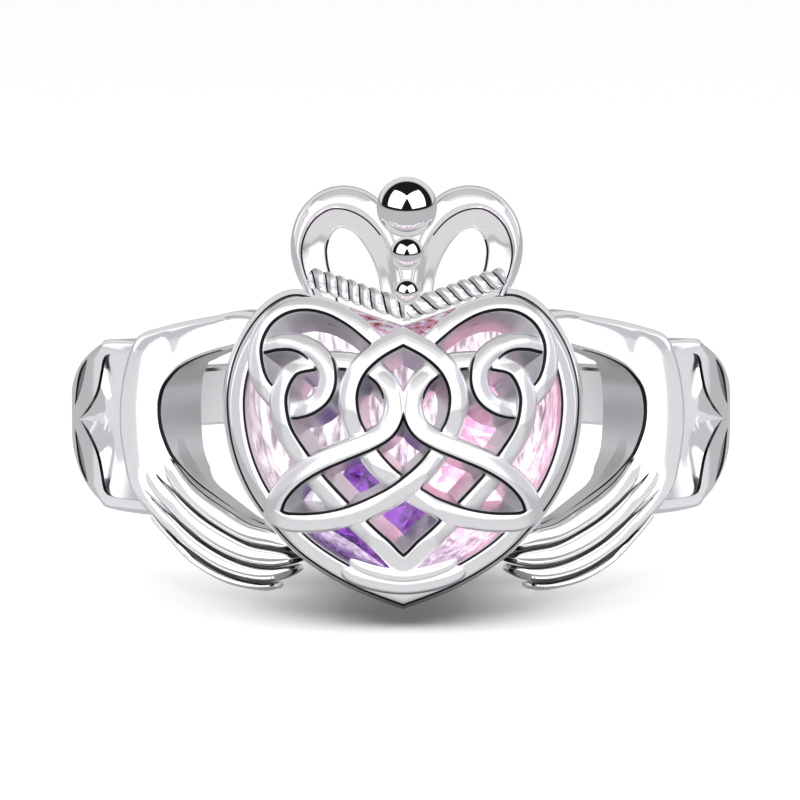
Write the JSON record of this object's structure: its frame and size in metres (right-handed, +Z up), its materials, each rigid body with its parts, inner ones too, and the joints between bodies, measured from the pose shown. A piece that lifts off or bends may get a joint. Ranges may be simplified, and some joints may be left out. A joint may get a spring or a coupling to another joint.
{
  "type": "finger ring",
  "caption": "Claddagh finger ring in polished silver: hands hold a crowned heart, a hollow cage with a pierced knot front and loose square stones inside.",
  "frame": {"origin": "centre of the base of the bounding box of the ring as it lies at rest on a table", "axes": "-Y towards the front of the heart, +Z up from the table, X from hand to hand; the finger's axis leans back from +Z by the ring's own rest angle, in the YZ plane"},
  "size_m": [0.0202, 0.0246, 0.0127],
  "materials": {
    "silver": "polished",
    "purple_stone": "polished",
    "pink_stone": "polished"
  },
  "bodies": {
    "root": {"band": "silver", "left_hand": "silver", "right_hand": "silver", "heart_cage": "silver", "knot_lattice": "silver", "crown": "silver", "purple_stone": "purple_stone", "pink_stone_a": "pink_stone", "pink_stone_b": "pink_stone"}
  },
  "joints": []
}
